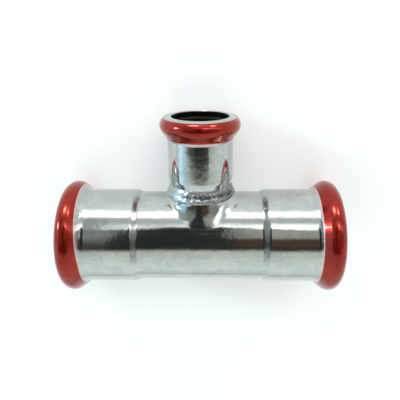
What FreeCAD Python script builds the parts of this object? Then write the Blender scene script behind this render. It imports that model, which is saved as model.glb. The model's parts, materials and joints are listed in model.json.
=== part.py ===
import FreeCAD, Part
import math
import os

import Sketcher

# Reducing press tee for 28 mm and 18 mm steel pipe, in millimetres and degrees.
# Every piece is drawn about the tee's own axes: the run along X, the branch along Z, crossing at the origin.
# At the end all pieces turn together, so that the tee lies on its three beads as a loose fitting does.

SIZES = [
    # run tube with a press socket at each end
    ("run_wall", 1.5, "wall of the run tube"),
    ("run_middle_reach", 20.1, "branch axis to each end of the narrow middle"),
    ("run_stop_length", 1.9, "length of the slope from the middle to the bore, which stops the pipe"),
    ("run_socket_depth", 23.65, "end of the bore to the lip plane"),
    ("run_bore_radius", 14.15, "socket bore for a 28 mm pipe"),
    ("run_step", 0.75, "how much the middle is narrower than the socket, on the radius"),
    ("run_stop_round", 2.0, "rounding at both ends of that slope"),
    ("run_bead_rise", 2.75, "socket to the crown of the rolled bead"),
    ("run_bead_round", 3.2, "outer rounding of the bead"),
    ("run_flare_round", 3.3, "outer hollow rounding between bead and socket"),
    ("run_flare_angle", 37.0, "slope of the bead's inner flank to the axis"),
    # branch socket welded onto the outlet
    ("branch_wall", 1.5, "wall of the branch socket"),
    ("branch_foot", 2.2, "length of the narrower foot above the outlet"),
    ("branch_stop_length", 2.0, "length of the slope from the foot to the bore, which stops the pipe"),
    ("branch_socket_depth", 20.2, "end of the bore to the lip plane"),
    ("branch_bore_radius", 9.1, "socket bore for an 18 mm pipe"),
    ("branch_step", 0.6, "how much the foot is narrower than the socket, on the radius"),
    ("branch_stop_round", 2.0, "rounding where that slope meets the bore"),
    ("branch_bead_rise", 2.3, "socket to the crown of the rolled bead"),
    ("branch_bead_round", 2.75, "outer rounding of the bead"),
    ("branch_flare_round", 3.0, "outer hollow rounding between bead and socket"),
    ("branch_flare_angle", 36.0, "slope of the bead's inner flank to the axis"),
    # lips of all three sockets
    ("lip_chamfer", 0.4, "broken edge inside each mouth"),
    # outlet drawn out of the run tube
    ("outlet_step", 0.4, "how much the collar is wider than the foot of the branch socket, on the radius"),
    ("outlet_rise", 2.1, "crown of the run to the trimmed edge of the collar"),
    ("outlet_side_round", 1.7, "blend radius where the collar meets the crown of the run"),
    ("outlet_rim", 0.53, "straight rim of the collar above the blend, on the middle line of each flank"),
    ("outlet_shoulder_round", 9.0, "blend radius at the shoulders, between flank and crown"),
    ("outlet_shoulder_reach", 4.7, "middle line of a flank to a shoulder of the collar, along the run"),
    # weld between outlet and branch socket, which covers the whole foot
    ("weld_below", 2.0, "how far the weld runs down the collar from the joint"),
    ("weld_stand", 0.95, "how far the weld stands out from the collar"),
    ("weld_round", 0.8, "rounding at its widest"),
    ("weld_toe", 0.12, "thickness of its upper toe"),
    # rubber seal rings, not yet pressed
    ("run_seal_play", 0.35, "how much slimmer a run seal is than its chamber, on the radius"),
    ("branch_seal_play", 0.15, "how much slimmer the branch seal is than its chamber, on the radius"),
    ("seal_gap", 0.02, "seal to the crown of its chamber"),
    # red film sleeves that tear off once a joint is pressed
    ("film_thickness", 0.12, "thickness of the film"),
    ("film_gap", 0.02, "film to the bead under it"),
    ("bare_lip_angle", 33.0, "part of the bead's round left bare at the lip"),
    ("run_film_toe_angle", 31.0, "slope at which a run film ends in the hollow rounding"),
    ("branch_film_toe_angle", 13.5, "slope at which the branch film ends in the hollow rounding"),
    ("askew_top", 5.9, "lip plane to the inner edge of the left film at the crown of the bead"),
    ("askew_angle", 3.6, "how far that edge is out of square"),
    # room for cuts to run past the faces they open
    ("overrun", 2.0, "how far a cut runs past the solid"),
]

# What follows from the sizes. Lengths along the run and the branch are from where their axes cross.
WORKED_OUT = {
    "run_socket_radius": "run_bore_radius + run_wall",
    "run_bead_radius": "run_socket_radius + run_bead_rise",
    "run_middle_radius": "run_socket_radius - run_step",
    "run_socket_end": "run_middle_reach + run_stop_length",
    "run_reach": "run_socket_end + run_socket_depth",
    "run_seal_round": "run_bead_round - run_wall - run_seal_play",
    "outlet_radius": "branch_middle_radius + outlet_step",
    "outlet_height": "run_middle_radius + outlet_rise",
    "blend_top": "outlet_height - outlet_rim",
    "outlet_front_round": (
        "(blend_top ^ 2 + outlet_radius ^ 2 - run_middle_radius ^ 2)"
        " / (2 * (run_middle_radius - outlet_radius))"
    ),
    "branch_socket_radius": "branch_bore_radius + branch_wall",
    "branch_bead_radius": "branch_socket_radius + branch_bead_rise",
    "branch_middle_radius": "branch_socket_radius - branch_step",
    "branch_middle_reach": "outlet_height + branch_foot",
    "branch_socket_end": "branch_middle_reach + branch_stop_length",
    "branch_reach": "branch_socket_end + branch_socket_depth",
    "branch_seal_round": "branch_bead_round - branch_wall - branch_seal_play",
    "weld_radius": "outlet_radius + weld_stand",
}

# The direction in which each mouth opens, as a turn from +X towards +Z
RIGHT = 0
BRANCH = 90
LEFT = 180

# The numbers of an edge's points in a sketch, and of the sketch's own axes, whose start is its origin
START = 1
END = START + 1
CENTRE_POINT = END + 1
FLAT_AXIS = -1
UPRIGHT_AXIS = FLAT_AXIS - 1

# How near a point has to be to a surface to count as on it
NEAR = 0.001

doc = FreeCAD.newDocument("press_tee")
sheet = doc.addObject("Spreadsheet::Sheet", "sizes")
for row, (alias, value, meaning) in enumerate(SIZES, start=1):
    sheet.set(f"A{row}", meaning)
    sheet.set(f"B{row}", str(value))
    sheet.setAlias(f"B{row}", alias)
doc.recompute()


def formula(text, **words):
    """A formula on named sizes. Words in braces are filled in first, such as {pipe} by run or branch."""
    for word, name in words.items():
        text = text.replace("{" + word + "}", name)
    parts = text.replace("(", " ( ").replace(")", " ) ").split()
    return " ".join(spelled_out(part) for part in parts)


def spelled_out(part):
    """One part of a formula, as the sheet's cells give it."""
    if part in WORKED_OUT:
        return f"( {formula(WORKED_OUT[part])} )"
    if any(part == alias for alias, _, _ in SIZES):
        return f"sizes.{part}"
    return part


def number(text, **words):
    """What a formula on named sizes comes to now."""
    return float(sheet.evalExpression(formula(text, **words)))


def flat(point):
    return FreeCAD.Vector(point[0], point[1], 0)


class Outline:
    """A closed outline in a sketch, drawn edge after edge and held by dimensions bound to the sizes."""

    def __init__(self, body, name, plane, turn, **words):
        self.words = words
        self.sketch = body.newObject("Sketcher::SketchObject", name)
        support = next(item for item in body.Origin.OriginFeatures if item.Role == plane)
        self.sketch.AttachmentSupport = [(support, "")]
        self.sketch.MapMode = "FlatFace"
        about_normal = FreeCAD.Rotation(FreeCAD.Vector(0, 0, 1), turn)
        self.sketch.AttachmentOffset = FreeCAD.Placement(FreeCAD.Vector(), about_normal)

    def number(self, text):
        return number(text, **self.words)

    def line(self, start, end):
        return self.sketch.addGeometry(Part.LineSegment(flat(start), flat(end)), False)

    def arc(self, centre, radius, first, last):
        """An arc that runs counter-clockwise from the angle first to the angle last, in degrees."""
        circle = Part.Circle(flat(centre), FreeCAD.Vector(0, 0, 1), radius)
        edge = Part.ArcOfCircle(circle, math.radians(first), math.radians(last))
        return self.sketch.addGeometry(edge, False)

    def circle(self, centre, radius):
        edge = Part.Circle(flat(centre), FreeCAD.Vector(0, 0, 1), radius)
        return self.sketch.addGeometry(edge, False)

    def rule(self, kind, *where):
        self.sketch.addConstraint(Sketcher.Constraint(kind, *where))

    def size(self, kind, *where_and_text):
        """A dimension whose value is the formula that comes last."""
        *where, text = where_and_text
        value = self.number(text)
        if kind == "Angle":
            value = math.radians(value)
        index = self.sketch.addConstraint(Sketcher.Constraint(kind, *where, value))
        self.sketch.setExpression(f"Constraints[{index}]", formula(text, **self.words))

    def across(self, edge, point, text):
        self.size("DistanceX", FLAT_AXIS, START, edge, point, text)

    def up(self, edge, point, text):
        self.size("DistanceY", FLAT_AXIS, START, edge, point, text)


def new_body(name):
    return doc.addObject("PartDesign::Body", name)


def revolve(body, outline, kind="PartDesign::Revolution", name="turned"):
    """Turns an outline about its own flat axis, adding metal or cutting it away."""
    feature = body.newObject(kind, f"{body.Name}_{name}")
    feature.Profile = outline.sketch
    feature.ReferenceAxis = (outline.sketch, ["H_Axis"])
    feature.Angle = 360.0
    doc.recompute()
    return feature


def round_rings(body, name, size, rings):
    """Rounds those circles of a turned body whose distance from the start and radius are given."""
    turned = body.Tip
    edges = []
    for index, edge in enumerate(turned.Shape.Edges, start=1):
        circle = edge.Curve
        if not isinstance(circle, Part.Circle):
            continue
        for along, radius in rings:
            if abs(circle.Center.Length - along) < NEAR and abs(circle.Radius - radius) < NEAR:
                edges.append(f"Edge{index}")
    rounding = body.newObject("PartDesign::Fillet", name)
    rounding.Base = (turned, edges)
    rounding.setExpression("Radius", formula(size))
    doc.recompute()


def socket_outline(body, name, turn, pipe, skin, foot):
    """Half the lengthwise section of a socket: lip, bead, flank, bore, stop and middle, down to the axis.

    skin is the formula for how far this surface lies inside the outer one: nothing, or the wall.
    A surface with no skin ends in the flat lip. The inner surface goes on out through the mouth.
    """
    o = Outline(body, name, "XZ_Plane", turn, pipe=pipe, skin=skin, foot=foot)
    hollow = skin != "0"
    reach = o.number("{pipe}_reach - {skin}")
    bead_round = o.number("{pipe}_bead_round - {skin}")
    flare_round = o.number("{pipe}_flare_round + {skin}")
    socket = o.number("{pipe}_socket_radius - {skin}")
    middle = o.number("{pipe}_middle_radius - {skin}")
    slope = math.radians(o.number("{pipe}_flare_angle"))
    low = o.number("{foot}")
    end = o.number("{pipe}_socket_end")
    start = o.number("{pipe}_middle_reach")

    crown_centre = (
        o.number("{pipe}_reach - {pipe}_bead_round"),
        o.number("{pipe}_bead_radius - {pipe}_bead_round"),
    )
    flank_top = (
        crown_centre[0] - bead_round * math.sin(slope),
        crown_centre[1] + bead_round * math.cos(slope),
    )
    flank_foot_height = socket + flare_round * (1 - math.cos(slope))
    flank_foot = (
        flank_top[0] - (flank_top[1] - flank_foot_height) / math.tan(slope),
        flank_foot_height,
    )
    flare_centre = (flank_foot[0] - flare_round * math.sin(slope), socket + flare_round)

    if hollow:
        mouth = o.number("{pipe}_reach")
        bore = o.number("{pipe}_bore_radius")
        chamfer = o.number("lip_chamfer")
        outside = mouth + o.number("overrun")
        axis = o.line((low, 0), (outside, 0))
        opening = o.line((outside, 0), (outside, bore + chamfer))
        apron = o.line((outside, bore + chamfer), (mouth, bore + chamfer))
        broken = o.line((mouth, bore + chamfer), (mouth - chamfer, bore))
        edge = o.line((mouth - chamfer, bore), (reach, bore))
        lip = o.line((reach, bore), (reach, crown_centre[1]))
    else:
        axis = o.line((low, 0), (reach, 0))
        lip = o.line((reach, 0), (reach, crown_centre[1]))
    crown = o.arc(crown_centre, bead_round, 0, 90 + math.degrees(slope))
    flank = o.line(flank_top, flank_foot)
    flare = o.arc(flare_centre, flare_round, 270, 270 + math.degrees(slope))
    guide = o.line((flare_centre[0], socket), (end, socket))
    stop = o.line((end, socket), (start, middle))
    narrow = o.line((start, middle), (low, middle))
    close = o.line((low, middle), (low, 0))

    if hollow:
        o.rule("Coincident", axis, END, opening, START)
        o.rule("Coincident", opening, END, apron, START)
        o.rule("Coincident", apron, END, broken, START)
        o.rule("Coincident", broken, END, edge, START)
        o.rule("Coincident", edge, END, lip, START)
        o.rule("Vertical", opening)
        o.rule("Horizontal", apron)
        o.rule("Horizontal", edge)
        o.across(opening, START, "{pipe}_reach + overrun")
        o.across(broken, START, "{pipe}_reach")
        o.across(broken, END, "{pipe}_reach - lip_chamfer")
        o.up(apron, END, "{pipe}_bore_radius + lip_chamfer")
        o.up(edge, START, "{pipe}_bore_radius")
        o.across(lip, START, "{pipe}_reach - {skin}")
    else:
        o.rule("Coincident", axis, END, lip, START)
        o.across(lip, START, "{pipe}_reach")
    o.rule("PointOnObject", axis, START, FLAT_AXIS)
    o.rule("Horizontal", axis)
    o.rule("Vertical", lip)
    o.rule("Tangent", lip, END, crown, START)
    o.rule("Tangent", crown, END, flank, START)
    o.rule("Tangent", flank, END, flare, END)
    o.rule("Tangent", flare, START, guide, START)
    o.rule("Coincident", guide, END, stop, START)
    o.rule("Coincident", stop, END, narrow, START)
    o.rule("Coincident", narrow, END, close, START)
    o.rule("Coincident", close, END, axis, START)
    o.rule("Horizontal", guide)
    o.rule("Horizontal", narrow)
    o.rule("Vertical", close)
    o.size("Radius", crown, "{pipe}_bead_round - {skin}")
    o.up(crown, CENTRE_POINT, "{pipe}_bead_radius - {pipe}_bead_round")
    o.size("Radius", flare, "{pipe}_flare_round + {skin}")
    o.size("Angle", flank, "180 + {pipe}_flare_angle")
    o.up(guide, END, "{pipe}_socket_radius - {skin}")
    o.across(guide, END, "{pipe}_socket_end")
    o.across(narrow, START, "{pipe}_middle_reach")
    o.up(narrow, START, "{pipe}_middle_radius - {skin}")
    o.across(close, END, "{foot}")
    return o


def collar_outline(body, name, skin):
    """A circle about the branch axis, in arcs that meet where the blend at its foot has a radius of its own.

    They meet on the crown of the run, on the middle line of each flank, and at a shoulder on both
    sides of that.
    """
    o = Outline(body, name, "XY_Plane", 0, skin=skin)
    radius = o.number("outlet_radius - {skin}")
    shoulder = math.degrees(math.asin(o.number("outlet_shoulder_reach / outlet_radius")))
    turns = [0, 90 - shoulder, 90, 90 + shoulder, 180, 270 - shoulder, 270, 270 + shoulder, 360]
    arcs = [o.arc((0, 0), radius, turn, following) for turn, following in zip(turns, turns[1:])]
    to_shoulder, to_back, to_back_left, to_left, to_front_left, to_front, to_front_right, to_right = arcs
    for arc, following in zip(arcs, arcs[1:] + [to_shoulder]):
        o.rule("Coincident", arc, END, following, START)
    for arc in arcs[:-1]:
        o.rule("Coincident", arc, CENTRE_POINT, FLAT_AXIS, START)
    o.size("Radius", to_shoulder, "outlet_radius - {skin}")
    o.rule("Equal", to_shoulder, to_right)
    o.rule("PointOnObject", to_shoulder, START, FLAT_AXIS)
    o.rule("PointOnObject", to_back, END, UPRIGHT_AXIS)
    o.rule("PointOnObject", to_left, END, FLAT_AXIS)
    o.rule("PointOnObject", to_front, END, UPRIGHT_AXIS)
    o.across(to_shoulder, END, "outlet_shoulder_reach * (outlet_radius - {skin}) / outlet_radius")
    o.rule("Horizontal", to_shoulder, END, to_back_left, END)
    o.rule("Vertical", to_back_left, END, to_front_left, END)
    o.rule("Horizontal", to_front_left, END, to_front_right, END)
    return o


def drawn_tee(name, skin, rise):
    """The run with its outlet drawn up out of it: the outer surface or, a wall further in, the hollow.

    The blend at the foot of the collar is tight on the crown of the run and wide on its flanks,
    because the metal there is pulled up from further down. On the middle line of a flank it is so wide
    that it takes up nearly the whole height of the collar.
    """
    body = new_body(f"{name}_form")
    # drawn towards the left and hanging down, so that the seam of the turned face stays clear of the outlet
    half = revolve(body, socket_outline(body, f"{name}_section", LEFT, "run", skin, "0"))
    both = body.newObject("PartDesign::Mirrored", f"{name}_both_ends")
    both.Originals = [half]
    both.MirrorPlane = (half.Profile[0], ["V_Axis"])
    body.Tip = both
    doc.recompute()
    stop_ends = (
        (number("run_socket_end"), number("run_socket_radius - {skin}", skin=skin)),
        (number("run_middle_reach"), number("run_middle_radius - {skin}", skin=skin)),
    )
    round_rings(body, f"{name}_stops", "run_stop_round", stop_ends)
    collar = body.newObject("PartDesign::Pad", f"{name}_collar")
    collar.Profile = collar_outline(body, f"{name}_collar_outline", skin).sketch
    collar.Refine = False
    collar.setExpression("Length", formula(rise))
    doc.recompute()

    blend = doc.addObject("Part::Fillet", f"{name}_blend")
    blend.Base = body
    blend.Edges = blend_edges(body.Shape, skin)
    doc.recompute()
    return blend


def blend_edges(shape, skin):
    """The edges round the foot of the collar in order, each with the blend's radius at its two corners."""
    collar_radius = number("outlet_radius - {skin}", skin=skin)
    run_radius = number("run_middle_radius - {skin}", skin=skin)
    left = {
        index: edge
        for index, edge in enumerate(shape.Edges, start=1)
        if lies_on_saddle(edge, collar_radius, run_radius)
    }
    chosen = []
    here = next(iter(left.values())).firstVertex().Point
    while left:
        index = next(
            index for index, edge in left.items()
            if any(corner.Point.distanceToPoint(here) < NEAR for corner in edge.Vertexes)
        )
        corners = [corner.Point for corner in left.pop(index).Vertexes]
        there = max(corners, key=here.distanceToPoint)
        chosen.append((index, blend_round(here, skin), blend_round(there, skin)))
        here = there
    return chosen


def blend_round(corner, skin):
    """The blend's radius at a corner of the collar's foot: on the crown, mid flank or at a shoulder."""
    if abs(corner.y) < NEAR:
        place = "side"
    elif abs(corner.x) < NEAR:
        place = "front"
    else:
        place = "shoulder"
    return number("outlet_{place}_round + {skin}", place=place, skin=skin)


def lies_on_saddle(edge, collar_radius, run_radius):
    """True for an edge where the collar and the run cross, above the run's axis."""
    middle = edge.valueAt((edge.FirstParameter + edge.LastParameter) / 2)
    on_collar = abs(math.hypot(middle.x, middle.y) - collar_radius) < NEAR
    on_run = abs(math.hypot(middle.y, middle.z) - run_radius) < NEAR
    return on_collar and on_run and middle.z > 0


def cut(name, base, tool):
    piece = doc.addObject("Part::Cut", name)
    piece.Base = base
    piece.Tool = tool
    doc.recompute()
    return piece


def branch_socket():
    """The reduced socket: turned outside and inside, and open at its foot onto the drawn outlet."""
    body = new_body("branch_socket")
    revolve(body, socket_outline(body, "branch_outside", BRANCH, "branch", "0", "outlet_height"))
    inside = socket_outline(body, "branch_inside", BRANCH, "branch", "branch_wall", "outlet_height - overrun")
    revolve(body, inside, "PartDesign::Groove", "hollowed")
    end = number("branch_socket_end")
    bore_ends = ((end, number("branch_socket_radius")), (end, number("branch_bore_radius")))
    round_rings(body, "branch_stop", "branch_stop_round", bore_ends)
    return body


def weld_ring():
    """A full ring of weld round the joint, still running into the collar and its blend."""
    body = new_body("weld_ring")
    o = Outline(body, "weld_section", "XZ_Plane", BRANCH)
    low = o.number("outlet_height - weld_below")
    high = o.number("branch_middle_reach")
    foot = o.number("branch_middle_radius")
    toe = foot + o.number("weld_toe")
    bend = o.number("weld_round")
    centre = (low + bend, o.number("weld_radius") - bend)
    # the face leaves the rounding where it points straight at the toe
    reach = math.hypot(high - centre[0], toe - centre[1])
    towards_toe = math.atan2(toe - centre[1], high - centre[0])
    leaves = math.degrees(towards_toe + math.acos(bend / reach))
    touch = (
        centre[0] + bend * math.cos(math.radians(leaves)),
        centre[1] + bend * math.sin(math.radians(leaves)),
    )
    under = o.line((low, foot), (low, centre[1]))
    widest = o.arc(centre, bend, leaves, 180)
    face = o.line(touch, (high, toe))
    tip = o.line((high, toe), (high, foot))
    seat = o.line((high, foot), (low, foot))
    o.rule("Tangent", under, END, widest, END)
    o.rule("Tangent", widest, START, face, START)
    o.rule("Coincident", face, END, tip, START)
    o.rule("Coincident", tip, END, seat, START)
    o.rule("Coincident", seat, END, under, START)
    o.rule("Vertical", under)
    o.rule("Vertical", tip)
    o.rule("Horizontal", seat)
    o.across(under, START, "outlet_height - weld_below")
    o.up(under, START, "branch_middle_radius")
    o.size("Radius", widest, "weld_round")
    o.up(widest, CENTRE_POINT, "weld_radius - weld_round")
    o.across(tip, START, "branch_middle_reach")
    o.up(tip, START, "branch_middle_radius + weld_toe")
    revolve(body, o)
    return body


def seal_ring(name, turn, pipe):
    """A round rubber ring in the chamber inside a bead, against the crown of the chamber."""
    body = new_body(name)
    o = Outline(body, f"{name}_section", "XZ_Plane", turn, pipe=pipe)
    along = "{pipe}_reach - {pipe}_bead_round"
    out = "{pipe}_bead_radius - {pipe}_wall - seal_gap - {pipe}_seal_round"
    ring = o.circle((o.number(along), o.number(out)), o.number("{pipe}_seal_round"))
    o.across(ring, CENTRE_POINT, along)
    o.up(ring, CENTRE_POINT, out)
    o.size("Radius", ring, "{pipe}_seal_round")
    revolve(body, o)
    return body


def press_indicator(name, turn, pipe):
    """A thin red sleeve over a bead, from short of the lip, over the crown, into the hollow rounding."""
    body = new_body(name)
    o = Outline(body, f"{name}_section", "XZ_Plane", turn, pipe=pipe)
    slope = o.number("{pipe}_flare_angle")
    lip = o.number("bare_lip_angle")
    toe = o.number("{pipe}_film_toe_angle")
    under = o.number("film_gap")
    over = under + o.number("film_thickness")
    bead_round = o.number("{pipe}_bead_round")
    flare_round = o.number("{pipe}_flare_round")
    socket = o.number("{pipe}_socket_radius")
    crown_centre = (
        o.number("{pipe}_reach - {pipe}_bead_round"),
        o.number("{pipe}_bead_radius - {pipe}_bead_round"),
    )
    sine = math.sin(math.radians(slope))
    cosine = math.cos(math.radians(slope))
    flank_top_height = crown_centre[1] + bead_round * cosine
    flank_foot_height = socket + flare_round * (1 - cosine)
    flank_length_along = (flank_top_height - flank_foot_height) * cosine / sine
    flare_centre = (
        crown_centre[0] - bead_round * sine - flank_length_along - flare_round * sine,
        socket + flare_round,
    )

    def around(centre, radius, degrees):
        turned = math.radians(degrees)
        return (centre[0] + radius * math.cos(turned), centre[1] + radius * math.sin(turned))

    faces = []
    for skin, text in ((under, "film_gap"), (over, "film_gap + film_thickness")):
        crown = o.arc(crown_centre, bead_round + skin, lip, 90 + slope)
        flank = o.line(
            around(crown_centre, bead_round + skin, 90 + slope),
            around(flare_centre, flare_round - skin, 270 + slope),
        )
        flare = o.arc(flare_centre, flare_round - skin, 270 + toe, 270 + slope)
        o.rule("Tangent", crown, END, flank, START)
        o.rule("Tangent", flank, END, flare, END)
        o.size("Radius", crown, "{pipe}_bead_round + " + text)
        o.size("Radius", flare, "{pipe}_flare_round - ( " + text + " )")
        faces.append((crown, flare))
    (crown_in, flare_in), (crown_out, flare_out) = faces
    lip_edge = o.line(
        around(crown_centre, bead_round + under, lip),
        around(crown_centre, bead_round + over, lip),
    )
    toe_edge = o.line(
        around(flare_centre, flare_round - under, 270 + toe),
        around(flare_centre, flare_round - over, 270 + toe),
    )
    o.rule("Coincident", crown_in, START, lip_edge, START)
    o.rule("Coincident", crown_out, START, lip_edge, END)
    o.rule("Coincident", flare_in, START, toe_edge, START)
    o.rule("Coincident", flare_out, START, toe_edge, END)
    o.rule("Coincident", crown_in, CENTRE_POINT, crown_out, CENTRE_POINT)
    o.rule("Coincident", flare_in, CENTRE_POINT, flare_out, CENTRE_POINT)
    o.across(crown_in, CENTRE_POINT, "{pipe}_reach - {pipe}_bead_round")
    o.up(crown_in, CENTRE_POINT, "{pipe}_bead_radius - {pipe}_bead_round")
    o.up(flare_in, CENTRE_POINT, "{pipe}_socket_radius + {pipe}_flare_round")
    o.size("Angle", lip_edge, "bare_lip_angle")
    o.size("Angle", toe_edge, "90 + {pipe}_film_toe_angle")
    revolve(body, o)
    return body


def trim_askew(body):
    """Trims the inner edge of the left film out of square, as it sits on the real fitting."""
    o = Outline(body, f"{body.Name}_trim", "XZ_Plane", LEFT)
    top = -o.number("run_bead_radius + overrun")
    depth = o.number("run_reach - askew_top")
    drift = -2 * top * math.tan(math.radians(o.number("askew_angle")))
    inner = o.number("run_middle_reach")
    slant = o.line((depth, top), (depth - drift, -top))
    under = o.line((depth - drift, -top), (inner, -top))
    back = o.line((inner, -top), (inner, top))
    above = o.line((inner, top), (depth, top))
    edges = [slant, under, back, above]
    for edge, following in zip(edges, edges[1:] + edges[:1]):
        o.rule("Coincident", edge, END, following, START)
    o.rule("Horizontal", under)
    o.rule("Vertical", back)
    o.rule("Horizontal", above)
    o.across(slant, START, "run_reach - askew_top")
    o.up(slant, START, "- ( run_bead_radius + overrun )")
    o.size("Angle", slant, "90 + askew_angle")
    o.up(back, START, "run_bead_radius + overrun")
    o.across(back, START, "run_middle_reach")
    pocket = body.newObject("PartDesign::Pocket", f"{body.Name}_trimmed")
    pocket.Profile = o.sketch
    pocket.Type = "ThroughAll"
    pocket.Midplane = True
    doc.recompute()


def lying_down():
    """Turns the tee's own axes onto the floor: the branch towards +Y and tipped down until its film touches.

    Both run films stand on the floor at their lowest point, and so does the film of the branch.
    The origin is on the floor, under the middle of the tee's box.
    """
    skin = number("film_gap + film_thickness")
    axis_height = number("run_bead_radius") + skin
    out = number("branch_reach - branch_bead_round")
    off = number("branch_bead_radius - branch_bead_round")
    bend = number("branch_bead_round")
    # out * sin(tip) + off * cos(tip) is what is left between the axis and the branch film's own round
    left = axis_height - bend - skin
    tip = math.asin(left / math.hypot(out, off)) - math.atan2(off, out)
    far_end = out * math.cos(tip) + off * math.sin(tip) + bend
    near_end = -axis_height
    turned = FreeCAD.Rotation(FreeCAD.Vector(1, 0, 0), -90 - math.degrees(tip))
    return FreeCAD.Placement(FreeCAD.Vector(0, -(far_end + near_end) / 2, axis_height), turned)


outside = drawn_tee("outside", "0", "outlet_height")
hollow = drawn_tee("hollow", "run_wall", "outlet_height + overrun")
run_body = cut("run_body", outside, hollow)
socket = branch_socket()
weld_seam = cut("weld_seam", weld_ring(), outside)

MOUTHS = (("left", LEFT, "run"), ("right", RIGHT, "run"), ("branch", BRANCH, "branch"))
seals = [seal_ring(f"seal_ring_{mouth}", turn, pipe) for mouth, turn, pipe in MOUTHS]
films = [press_indicator(f"press_indicator_{mouth}", turn, pipe) for mouth, turn, pipe in MOUTHS]
trim_askew(films[0])

pieces = [run_body, socket, weld_seam, *seals, *films]
placement = lying_down()
for piece in pieces:
    piece.Label = piece.Name
    piece.Placement = placement
doc.recompute()

for item in doc.Objects:
    if "Invalid" in item.State or "Error" in item.State:
        raise RuntimeError(f"{item.Name} did not rebuild: {item.State}")
for piece in pieces:
    if piece.Shape.isNull() or not piece.Shape.isValid() or len(piece.Shape.Solids) != 1:
        raise RuntimeError(f"{piece.Name} is not one sound solid")

os.makedirs("parts", exist_ok=True)
for piece in pieces:
    piece.Shape.exportStep(f"parts/{piece.Label}.step")
    print(f"{piece.Label}: {piece.Shape.Volume:.1f} mm3")
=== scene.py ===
import json
import math

import bpy
from mathutils import Matrix, Vector, noise


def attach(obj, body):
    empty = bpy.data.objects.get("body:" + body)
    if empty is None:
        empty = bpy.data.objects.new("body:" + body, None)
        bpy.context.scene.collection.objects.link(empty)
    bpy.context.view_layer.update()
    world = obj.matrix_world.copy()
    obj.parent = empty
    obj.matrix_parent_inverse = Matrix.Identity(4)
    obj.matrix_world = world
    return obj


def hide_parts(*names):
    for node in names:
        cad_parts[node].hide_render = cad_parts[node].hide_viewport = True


# Look of a zinc-plated press tee that lies on a pale floor. Lengths in metres, angles in degrees.

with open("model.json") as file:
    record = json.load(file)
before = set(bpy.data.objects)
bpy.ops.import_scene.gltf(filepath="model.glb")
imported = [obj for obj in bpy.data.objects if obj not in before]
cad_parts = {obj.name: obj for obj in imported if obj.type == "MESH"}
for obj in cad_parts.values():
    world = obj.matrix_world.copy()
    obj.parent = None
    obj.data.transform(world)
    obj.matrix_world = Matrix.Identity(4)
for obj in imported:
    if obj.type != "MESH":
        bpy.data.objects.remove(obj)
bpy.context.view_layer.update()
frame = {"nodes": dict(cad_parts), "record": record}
nodes = frame["nodes"]
MM = 0.001

# ---------------------------------------------------------------- the tee's own axes in the row frame
TIP = 8.341983
AXIS_OFFSET = -11.961824 * MM
AXIS_HEIGHT = 18.54 * MM
LYING = math.radians(-90 - TIP)
own_to_row = Matrix.Translation((0, AXIS_OFFSET, AXIS_HEIGHT)) @ Matrix.Rotation(LYING, 4, "X")

# ---------------------------------------------------------------- camera
# focal length, centre and size of the picture in pixels, turns and aim in the tee's own axes
FOCAL = 437.42
CENTRE_COLUMN = 205.25
CENTRE_ROW = 168.97
IMAGE = 400
YAW, RISE, ROLL = 0.98, 17.40, -0.32
DISTANCE = 144.43 * MM
AIM = Vector((1.558, 0, 23.595)) * MM
SENSOR = 36


def camera():
    yaw, rise, roll = (math.radians(a) for a in (YAW, RISE, ROLL))
    back = Vector((math.sin(yaw) * math.cos(rise), -math.cos(yaw) * math.cos(rise), math.sin(rise)))
    level = Vector((math.cos(yaw), math.sin(yaw), 0))
    upright = back.cross(level)
    right = math.cos(roll) * level + math.sin(roll) * upright
    up = -math.sin(roll) * level + math.cos(roll) * upright
    turn = Matrix((right, up, back)).transposed().to_4x4()
    data = bpy.data.cameras.new("camera")
    data.sensor_width = SENSOR
    data.lens = FOCAL / IMAGE * SENSOR
    data.shift_x = 0.5 - CENTRE_COLUMN / IMAGE
    data.shift_y = CENTRE_ROW / IMAGE - 0.5
    data.clip_start = 0.001
    data.clip_end = 100
    made = bpy.data.objects.new("camera", data)
    made.matrix_world = own_to_row @ Matrix.Translation(AIM + DISTANCE * back) @ turn
    bpy.context.scene.collection.objects.link(made)
    bpy.context.scene.camera = made


camera()


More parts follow.
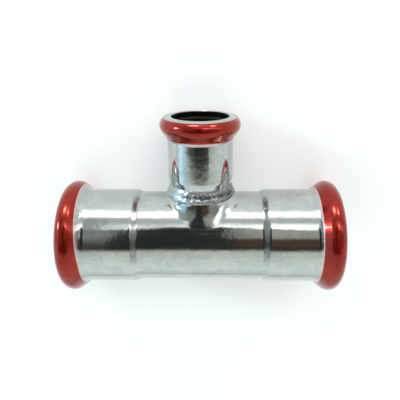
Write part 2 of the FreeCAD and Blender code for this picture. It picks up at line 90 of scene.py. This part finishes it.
# ---------------------------------------------------------------- node helpers
class Net:
    """A node tree that is filled step by step."""

    def __init__(self, tree):
        self.tree = tree
        tree.nodes.clear()

    def node(self, kind, values=None, **settings):
        made = self.tree.nodes.new(kind)
        for name, value in settings.items():
            setattr(made, name, value)
        for name, value in (values or {}).items():
            socket = made.inputs[name]
            if isinstance(value, bpy.types.NodeSocket):
                self.tree.links.new(value, socket)
            else:
                socket.default_value = value
        return made

    def math(self, operation, *values, clamp=False):
        made = self.node("ShaderNodeMath", operation=operation, use_clamp=clamp)
        for socket, value in zip(made.inputs, values):
            if isinstance(value, bpy.types.NodeSocket):
                self.tree.links.new(value, socket)
            else:
                socket.default_value = value
        return made.outputs[0]

    def between(self, value, low, high, to_low=0.0, to_high=1.0):
        made = self.node("ShaderNodeMapRange", {"Value": value, "From Min": low, "From Max": high,
                                                "To Min": to_low, "To Max": to_high},
                         interpolation_type="SMOOTHSTEP")
        return made.outputs["Result"]

    def mix(self, factor, first, second):
        made = self.node("ShaderNodeMix", data_type="RGBA")
        for index, value in ((0, factor), (6, first), (7, second)):
            if isinstance(value, bpy.types.NodeSocket):
                self.tree.links.new(value, made.inputs[index])
            else:
                made.inputs[index].default_value = value if index == 0 else (*value[:3], 1)
        return made.outputs[2]

    def noise(self, where, scale, detail=2.0, roughness=0.5, distortion=0.0):
        values = {"Vector": where, "Scale": scale, "Detail": detail, "Roughness": roughness,
                  "Distortion": distortion}
        return self.node("ShaderNodeTexNoise", values).outputs["Fac"]

    def ramp(self, factor, stops):
        made = self.node("ShaderNodeValToRGB", {"Fac": factor})
        elements = made.color_ramp.elements
        for index, (place, colour) in enumerate(stops):
            element = elements[index] if index < 2 else elements.new(place)
            element.position = place
            element.color = (*colour, 1)
        return made.outputs["Color"]


# ---------------------------------------------------------------- surroundings
def sky():
    """A pale studio: soft wall in front, bright low window behind, ceiling strip and cold window left."""
    world = bpy.data.worlds.new("studio")
    bpy.context.scene.world = world
    world.use_nodes = True
    net = Net(world.node_tree)
    where = net.node("ShaderNodeTexCoord").outputs["Generated"]
    parts = net.node("ShaderNodeSeparateXYZ", {"Vector": where})
    x, y, z = (parts.outputs[axis] for axis in "XYZ")
    # angle from overhead towards +Y, as 0 to 1 for -180 to 180 degrees
    lean = net.math("MULTIPLY_ADD", net.math("ARCTAN2", y, z), 1 / (2 * math.pi), 0.5)

    def at(angle):
        return 0.5 + angle / 360

    wall = net.ramp(lean, [
        (at(-92), (0.62, 0.70, 0.68)),
        (at(-80), (0.92, 1.02, 0.98)),
        (at(-68), (1.09, 1.19, 1.14)),
        (at(-40), (1.00, 1.10, 1.05)),
        (at(-14), (0.78, 0.83, 0.78)),
        (at(-4), (0.45, 0.46, 0.44)),
        (at(57), (0.45, 0.46, 0.44)),
        (at(60), (0.70, 0.75, 0.72)),
        (at(72), (0.74, 0.79, 0.76)),
        (at(77), (2.05, 2.10, 2.08)),
        (at(95), (2.05, 2.10, 2.08)),
    ])
    # the ceiling strip, brighter on the right and gone on the far left
    across = net.math("MULTIPLY_ADD", x, 0.5, 0.5)
    strip = net.ramp(across, [
        (0.37, (0.42, 0.47, 0.46)),
        (0.39, (1.5, 1.56, 1.52)),
        (0.43, (1.15, 1.2, 1.16)),
        (0.50, (1.55, 1.6, 1.56)),
        (0.52, (2.1, 2.15, 2.1)),
    ])
    on_strip = net.math("MULTIPLY", net.between(lean, at(37), at(42)), net.between(lean, at(64), at(53)))
    colour = net.mix(on_strip, wall, strip)
    # darker beyond on the far left
    dim = net.math("MULTIPLY", net.between(lean, at(54), at(57)), net.between(lean, at(73), at(68)))
    dim = net.math("MULTIPLY", dim, net.between(x, -0.20, -0.28))
    colour = net.mix(dim, colour, (0.46, 0.52, 0.51))
    # the low window ends at both sides
    ends = net.between(net.math("ABSOLUTE", x), 0.30, 0.46)
    ends = net.math("MULTIPLY", ends, net.between(lean, at(73), at(77)))
    colour = net.mix(ends, colour, (0.80, 0.85, 0.83))
    # plain and pale towards both far ends
    colour = net.mix(net.between(net.math("ABSOLUTE", x), 0.78, 0.90), colour, (0.92, 0.97, 0.95))
    # the cold window low on the left
    side = net.math("MULTIPLY", net.between(x, -0.55, -0.88), net.between(z, 0.02, 0.22))
    colour = net.mix(side, colour, (0.66, 1.06, 1.28))
    pane = net.math("MULTIPLY", net.between(x, -0.80, -0.89), net.between(z, 0.14, 0.26))
    pane = net.math("MULTIPLY", pane, net.between(y, 0.0, -0.18))
    colour = net.mix(pane, colour, (1.08, 1.45, 1.60))
    background = net.node("ShaderNodeBackground", {"Color": colour, "Strength": 1.0})
    out = net.node("ShaderNodeOutputWorld")
    net.tree.links.new(background.outputs[0], out.inputs["Surface"])


def flat(name, corners, height):
    """A level sheet with a material of its own, which isn't part of the tee."""
    mesh = bpy.data.meshes.new(name)
    mesh.from_pydata([(x, y, height) for x, y in corners], [], [range(len(corners))])
    made = bpy.data.objects.new(name, mesh)
    bpy.context.scene.collection.objects.link(made)
    material = bpy.data.materials.new(name)
    material.use_nodes = True
    mesh.materials.append(material)
    return made, Net(material.node_tree)


CARD_HEIGHT = 0.31
CARD_OUTLINE = [
    (-0.34, -0.10), (0.13, -0.10), (0.19, -0.01), (0.42, 0.02), (0.42, 0.23),
    (0.09, 0.272), (0.05, 0.335), (-0.06, 0.328), (-0.10, 0.265), (-0.34, 0.22),
]


def card_over():
    """A card over the tee that only gloss shows: grey left, nearly black in the middle, beige right."""
    made, net = flat("card_over", CARD_OUTLINE, CARD_HEIGHT)
    made.visible_camera = False
    made.visible_diffuse = False
    made.visible_shadow = False
    made.visible_transmission = False
    parts = net.node("ShaderNodeSeparateXYZ", {"Vector": net.node("ShaderNodeTexCoord").outputs["Object"]})
    x, y = parts.outputs["X"], parts.outputs["Y"]
    left = net.mix(net.between(y, -0.005, 0.15), (0.10, 0.08, 0.07), (0.33, 0.345, 0.33))
    right = net.mix(net.between(y, 0.09, 0.14), (0.12, 0.07, 0.05), (0.53, 0.52, 0.46))
    right = net.mix(net.between(y, -0.020, 0.030), (0.050, 0.046, 0.040), right)
    colour = net.mix(net.between(x, -0.103, -0.092), left, (0.030, 0.040, 0.034))
    colour = net.mix(net.between(x, 0.012, 0.036), colour, right)
    colour = net.mix(net.between(x, 0.14, 0.18), colour, (0.34, 0.345, 0.31))
    # it fades out towards its front edge
    cover = net.between(y, -0.064, -0.024)
    glow = net.node("ShaderNodeEmission", {"Color": colour, "Strength": 1.0})
    clear = net.node("ShaderNodeBsdfTransparent")
    both = net.node("ShaderNodeMixShader", {"Fac": cover})
    net.tree.links.new(clear.outputs[0], both.inputs[1])
    net.tree.links.new(glow.outputs[0], both.inputs[2])
    out = net.node("ShaderNodeOutputMaterial")
    net.tree.links.new(both.outputs[0], out.inputs["Surface"])


FLOOR_HALF = 3
FLOOR_TONE = (0.80, 0.80, 0.80, 1)
FLOOR_GLOW = 0.18


def floor():
    """A pale floor that keeps the tee's shadow. It glows alike to the camera, in gloss and through glass."""
    half = FLOOR_HALF
    _, net = flat("floor", [(-half, -half), (half, -half), (half, half), (-half, half)], 0)
    path = net.node("ShaderNodeLightPath")
    mirrored = net.math("ADD", path.outputs["Is Glossy Ray"], path.outputs["Is Transmission Ray"], clamp=True)
    shown = net.math("ADD", mirrored, path.outputs["Is Camera Ray"], clamp=True)
    lift = net.math("MULTIPLY", shown, FLOOR_GLOW)
    diffuse = net.node("ShaderNodeBsdfDiffuse", {"Color": FLOOR_TONE})
    glow = net.node("ShaderNodeEmission", {"Color": (1, 1, 1, 1), "Strength": lift})
    both = net.node("ShaderNodeAddShader")
    net.tree.links.new(diffuse.outputs[0], both.inputs[0])
    net.tree.links.new(glow.outputs[0], both.inputs[1])
    out = net.node("ShaderNodeOutputMaterial")
    net.tree.links.new(both.outputs[0], out.inputs["Surface"])


def lamp(name, place, size, strength, colour=(1, 1, 1)):
    """A soft lamp at a place, turned to the tee; strength is the light that it shows."""
    data = bpy.data.lights.new(name, "AREA")
    data.shape = "RECTANGLE"
    data.size, data.size_y = size
    data.energy = strength * math.pi * data.size * data.size_y
    data.color = colour
    made = bpy.data.objects.new(name, data)
    made.location = place
    made.rotation_euler = Vector(place).to_track_quat("Z", "Y").to_euler()
    made.visible_camera = False
    bpy.context.scene.collection.objects.link(made)
    return made


sky()
card_over()
floor()
# small bright lamps for the highlights, and a wide one that gloss doesn't show
lamp("window_core", (-0.30, 1.46, 0.18), (0.45, 0.24), 20)
lamp("window_right", (0.645, 1.33, 0.235), (0.20, 0.20), 24)
lamp("window_left", (-1.32, 0.60, 0.40), (0.20, 0.20), 50, (0.80, 0.93, 1.0))
lamp("ceiling_strip", (0.45, 1.08, 0.94), (0.50, 0.05), 12)
key = lamp("key", (0, 1.15, 0.96), (1.0, 0.7), 3)
key.visible_glossy = False


# ---------------------------------------------------------------- materials
def new_material(name):
    """A material with its node tree, the place on the tee and its shader."""
    material = bpy.data.materials.new(name)
    material.use_nodes = True
    net = Net(material.node_tree)
    where = net.node("ShaderNodeTexCoord").outputs["Object"]
    shader = net.node("ShaderNodeBsdfPrincipled")
    out = net.node("ShaderNodeOutputMaterial")
    net.tree.links.new(shader.outputs[0], out.inputs["Surface"])
    return material, net, where, shader


def own_axes(net, where):
    """Distances from the run's axis and from the branch's, and the height along the branch."""
    values = {"Vector": where, "Location": (0, AXIS_OFFSET, AXIS_HEIGHT), "Rotation": (LYING, 0, 0)}
    own = net.node("ShaderNodeMapping", values, vector_type="TEXTURE")
    parts = net.node("ShaderNodeSeparateXYZ", {"Vector": own.outputs[0]})
    x, y, z = (parts.outputs[axis] for axis in "XYZ")

    def length(first, second):
        squares = net.math("MULTIPLY_ADD", first, first, net.math("MULTIPLY", second, second))
        return net.math("SQRT", squares)

    return length(y, z), length(x, y), z


# the cones of the pipe stops, the distances from both axes under which the tubes' inside is painted dark as
# shade, and their soft edges
CONE_START, CONE_END, CONE_EDGE = 20.0 * MM, 22.0 * MM, 0.3 * MM
RUN_INSIDE, BRANCH_INSIDE, INSIDE_EDGE = 14.42 * MM, 9.36 * MM, 0.06 * MM


def zinc():
    material, net, where, shader = new_material("zinc_steel")
    from_run, from_branch, height = own_axes(net, where)
    cloud = net.noise(where, 190, 5, 0.62, 0.5)
    fine = net.noise(where, 1500, 3, 0.6)
    tone = net.ramp(cloud, [(0.32, (0.435, 0.465, 0.455)), (0.68, (0.555, 0.575, 0.560))])
    tone = net.mix(net.between(fine, 0.5, 0.75, 0, 0.30), tone, (0.40, 0.42, 0.41))
    # faint drawing lines along the run
    along = net.node("ShaderNodeVectorMath", {0: where, 1: (0.07, 1, 1)}, operation="MULTIPLY").outputs[0]
    streak = net.noise(along, 1300, 3, 0.65, 0.3)
    tone = net.mix(net.between(streak, 0.52, 0.70, 0, 0.35), tone, (0.36, 0.38, 0.375))
    # the cones of the pipe stops are duller, and painted shade darkens them in mottled patches between these
    # heights
    side = net.math("ABSOLUTE", net.node("ShaderNodeSeparateXYZ", {"Vector": where}).outputs["X"])
    cone = net.math("MULTIPLY", net.between(side, CONE_START - CONE_EDGE, CONE_START + CONE_EDGE),
                    net.between(side, CONE_END + CONE_EDGE, CONE_END - CONE_EDGE))
    cone_painted_shade = net.math("MULTIPLY", cone, net.between(cloud, 0.35, 0.6, 0.75, 0.35))
    cone_painted_shade = net.math("MULTIPLY", cone_painted_shade, net.between(height, -5 * MM, 0))
    cone_painted_shade = net.math("MULTIPLY", cone_painted_shade, net.between(height, 15.5 * MM, 14.5 * MM))
    # painted shade on the cones of the pipe stops
    tone = net.mix(cone_painted_shade, tone, (0.17, 0.19, 0.20))
    # painted shade: the inside of the tubes is coloured nearly black
    in_run = net.between(from_run, RUN_INSIDE + INSIDE_EDGE, RUN_INSIDE - INSIDE_EDGE)
    in_branch = net.between(from_branch, BRANCH_INSIDE + INSIDE_EDGE, BRANCH_INSIDE - INSIDE_EDGE)
    in_branch = net.math("MULTIPLY", in_branch, net.between(height, 0, 1 * MM))
    inside = net.math("MAXIMUM", in_run, in_branch)
    bore_shade = net.ramp(cloud, [(0.35, (0.005, 0.005, 0.005)), (0.65, (0.011, 0.010, 0.010))])
    tone = net.mix(inside, tone, bore_shade)
    net.tree.links.new(tone, shader.inputs["Base Color"])
    shader.inputs["Metallic"].default_value = 1
    polish = net.between(cloud, 0.3, 0.7, 0.12, 0.06)
    rough = net.math("MULTIPLY_ADD", inside, 0.4, polish)
    rough = net.math("ADD", rough, net.between(streak, 0.45, 0.70, 0, 0.06))
    rough = net.math("MULTIPLY_ADD", cone, 0.10, rough)
    net.tree.links.new(rough, shader.inputs["Roughness"])
    relief = net.math("MULTIPLY_ADD", net.noise(where, 480, 3, 0.6), 0.5, net.noise(where, 150, 2, 0.5))
    relief = net.math("MULTIPLY_ADD", fine, 0.06, relief)
    relief = net.math("MULTIPLY_ADD", streak, 0.06, relief)
    bump = net.node("ShaderNodeBump", {"Height": relief, "Strength": 1.0, "Distance": 0.00005})
    net.tree.links.new(bump.outputs[0], shader.inputs["Normal"])
    return material


def weld():
    material, net, where, shader = new_material("weld")
    _, _, height = own_axes(net, where)
    x = net.node("ShaderNodeSeparateXYZ", {"Vector": where}).outputs["X"]
    cloud = net.noise(where, 420, 4, 0.65, 0.8)
    fine = net.noise(where, 1800, 2, 0.6)
    tone = net.ramp(cloud, [
        (0.36, (0.20, 0.21, 0.21)),
        (0.50, (0.40, 0.42, 0.42)),
        (0.64, (0.56, 0.58, 0.58)),
    ])
    # darker towards the right; on the left smoother, with a bluish tone that is a painted reflection of the
    # cold window
    tone = net.mix(net.between(x, -2 * MM, 6 * MM, 0, 0.6), tone, (0.16, 0.17, 0.165))
    smooth_and_sheen_left = net.between(x, -3 * MM, -7 * MM)
    # painted reflection: a bluish tone on the smooth left side
    tone = net.mix(smooth_and_sheen_left, tone, (0.40, 0.46, 0.48))
    # darker along the groove, except on the left
    groove_dark = net.math("MULTIPLY", net.between(height, 16.4 * MM, 17.0 * MM),
                    net.between(height, 18.3 * MM, 17.5 * MM))
    groove_dark = net.math("MULTIPLY", groove_dark, net.between(cloud, 0.62, 0.42, 0.3, 1.0))
    groove_dark = net.math("MULTIPLY", groove_dark, net.between(x, -7 * MM, -3 * MM))
    tone = net.mix(groove_dark, tone, (0.07, 0.07, 0.07))
    net.tree.links.new(tone, shader.inputs["Base Color"])
    shader.inputs["Metallic"].default_value = 1
    net.tree.links.new(net.between(cloud, 0.3, 0.7, 0.45, 0.25), shader.inputs["Roughness"])
    bump = net.node("ShaderNodeBump", {"Height": net.math("MULTIPLY_ADD", fine, 0.3, cloud),
                                       "Strength": net.between(smooth_and_sheen_left, 0, 1, 1, 0.25), "Distance": 0.00025})
    net.tree.links.new(bump.outputs[0], shader.inputs["Normal"])
    return material


# where the films end: both toes, the width of the edge painted pale as a highlight, and the slanting edge of
# the left film
RUN_TOE = 38.28 * MM
BRANCH_TOE = 34.28 * MM
EDGE = 0.38 * MM
ASKEW_TOE = 39.75 * MM
ASKEW_TOP = 20.4 * MM
ASKEW_SLOPE = math.tan(math.radians(3.6))
# above this height along the branch only the branch film is met
ON_BRANCH = BRANCH_TOE * 0.8


def cut_edge_highlight(net, where, height):
    """1 along the inner edge of each film, where it was cut and is painted pale as a highlight, and 0
    elsewhere.
    """
    x = net.node("ShaderNodeSeparateXYZ", {"Vector": where}).outputs["X"]
    # the left film is cut out of square above its toe
    slant = net.math("MULTIPLY_ADD", height, ASKEW_SLOPE, ASKEW_TOE - ASKEW_TOP * ASKEW_SLOPE)
    left_past = net.math("SUBTRACT", net.math("MULTIPLY", x, -1), net.math("MAXIMUM", slant, RUN_TOE))
    right_past = net.math("SUBTRACT", x, RUN_TOE)
    run_past = net.math("MAXIMUM", left_past, right_past)
    branch_past = net.math("SUBTRACT", height, BRANCH_TOE)
    on_branch = net.math("GREATER_THAN", height, ON_BRANCH)
    chosen = net.node("ShaderNodeMix", {0: on_branch, 2: run_past, 3: branch_past}, data_type="FLOAT")
    past = chosen.outputs[0]
    return net.between(past, EDGE, EDGE * 0.6)


def red_film():
    material, net, where, shader = new_material("red_film")
    cloud = net.noise(where, 260, 4, 0.6, 0.5)
    _, _, height = own_axes(net, where)
    edge_highlight = cut_edge_highlight(net, where, height)
    tone = net.ramp(cloud, [(0.3, (0.23, 0.008, 0.003)), (0.7, (0.33, 0.015, 0.005))])
    # painted highlight: the cut edge of each film is coloured pale pink
    tone = net.mix(edge_highlight, tone, (0.62, 0.40, 0.38))
    net.tree.links.new(tone, shader.inputs["Base Color"])
    net.tree.links.new(net.between(edge_highlight, 0, 1, 0.8, 0.5), shader.inputs["Metallic"])
    net.tree.links.new(net.between(cloud, 0.3, 0.7, 0.16, 0.24), shader.inputs["Roughness"])
    shader.inputs["Specular IOR Level"].default_value = 0.2
    shader.inputs["Coat Weight"].default_value = 0.5
    shader.inputs["Coat Roughness"].default_value = 0.07
    bump = net.node("ShaderNodeBump", {"Height": cloud, "Strength": 0.08, "Distance": 0.0002})
    net.tree.links.new(bump.outputs[0], shader.inputs["Normal"])
    return material


def rubber():
    material, net, where, shader = new_material("black_rubber")
    cloud = net.noise(where, 900, 3, 0.6)
    tone = net.ramp(cloud, [(0.3, (0.006, 0.006, 0.006)), (0.7, (0.012, 0.012, 0.012))])
    net.tree.links.new(tone, shader.inputs["Base Color"])
    net.tree.links.new(net.between(cloud, 0.3, 0.7, 0.4, 0.55), shader.inputs["Roughness"])
    shader.inputs["Specular IOR Level"].default_value = 0.2
    return material


# ---------------------------------------------------------------- weld bead
# heights along the branch and radii about it, in mm, as in the solid that it takes the place of
OUTLET_TOP = 17.0
WELD_LOW, WELD_HIGH = OUTLET_TOP - 2.0, OUTLET_TOP + 2.2
FOOT_RADIUS = 10.0
WELD_RADIUS = 11.35
WELD_ROUND = 0.8
WELD_TOE = 0.12
WELD_ROOT = 9.7
ROUND_STEPS, FACE_STEPS, TURN_STEPS = 14, 30, 560


def weld_section():
    """Points (height, radius, liveliness) of the bead's section: foot, rounding, upper toe, then the root."""
    centre = (WELD_LOW + WELD_ROUND, WELD_RADIUS - WELD_ROUND)
    toe = (WELD_HIGH, FOOT_RADIUS + WELD_TOE)
    reach = math.hypot(toe[0] - centre[0], toe[1] - centre[1])
    leaves = math.atan2(toe[1] - centre[1], toe[0] - centre[0]) + math.acos(WELD_ROUND / reach)
    section = [(WELD_LOW, WELD_ROOT, 0.0), (WELD_LOW, FOOT_RADIUS + 0.3, 0.0)]
    for step in range(ROUND_STEPS + 1):
        turn = math.pi + (leaves - math.pi) * step / ROUND_STEPS
        section.append((centre[0] + WELD_ROUND * math.cos(turn), centre[1] + WELD_ROUND * math.sin(turn),
                        min(1.0, 0.2 + step / 6)))
    touch = section[-1]
    for step in range(1, FACE_STEPS + 1):
        part = step / FACE_STEPS
        section.append((touch[0] + (toe[0] - touch[0]) * part, touch[1] + (toe[1] - touch[1]) * part,
                        min(1.0, 6 * (1 - part))))
    section.append((WELD_HIGH, WELD_ROOT, 0.0))
    return section


def weld_swell(turn, height):
    """How far the bead's skin stands out at a turn about the branch and a height, in mm."""
    across = (height - WELD_LOW) / (WELD_HIGH - WELD_LOW)
    where = Vector((math.cos(turn) * FOOT_RADIUS, math.sin(turn) * FOOT_RADIUS, height))
    drift = noise.noise(where * 0.25) * 2.5
    # crescents left by the moving pool, bowed back at both edges
    crescent = math.sin(turn * 46 + 2.2 * drift + 22 * (across - 0.42) ** 2)
    lumps = noise.noise(where * 0.62 + Vector((7, 3, 1)))
    grain = noise.noise(where * 1.7 + Vector((1, 8, 5)))
    groove = math.exp(-((across - 0.52 - 0.16 * lumps) / 0.10) ** 2)
    # the left side ran smoother
    smooth = min(1.0, max(0.0, (-math.cos(turn) * FOOT_RADIUS - 3) / 4))
    return (1 - 0.6 * smooth) * (0.022 * crescent + 0.20 * lumps + 0.10 * grain - 0.16 * groove)


def weld_bead():
    """The weld with its ripples, which takes the place of the smooth one."""
    section = weld_section()
    points, faces = [], []
    for step in range(TURN_STEPS):
        turn = 2 * math.pi * step / TURN_STEPS
        for height, radius, lively in section:
            out = radius + lively * weld_swell(turn, height) if lively else radius
            own = Vector((math.cos(turn) * out * MM, math.sin(turn) * out * MM, height * MM))
            points.append(own_to_row @ own)
    wide = len(section)
    for step in range(TURN_STEPS):
        here, there = step * wide, (step + 1) % TURN_STEPS * wide
        for index in range(wide):
            after = (index + 1) % wide
            faces.append((here + index, here + after, there + after, there + index))
    mesh = bpy.data.meshes.new("weld_bead")
    mesh.from_pydata(points, [], faces)
    mesh.polygons.foreach_set("use_smooth", [True] * len(faces))
    made = bpy.data.objects.new("weld_bead", mesh)
    bpy.context.scene.collection.objects.link(made)
    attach(made, "root")
    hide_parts("weld_seam")
    return made


bead = weld_bead()

finishes = {
    "zinc_steel": zinc(),
    "weld": weld(),
    "red_film": red_film(),
    "black_rubber": rubber(),
}
for part in frame["record"]["subparts"]:
    shown = nodes[part["node"]]
    shown.data.materials.clear()
    shown.data.materials.append(finishes[part["material_slot"]])
bead.data.materials.append(finishes["weld"])

# ---------------------------------------------------------------- end
bpy.context.scene.view_settings.view_transform = "Standard"
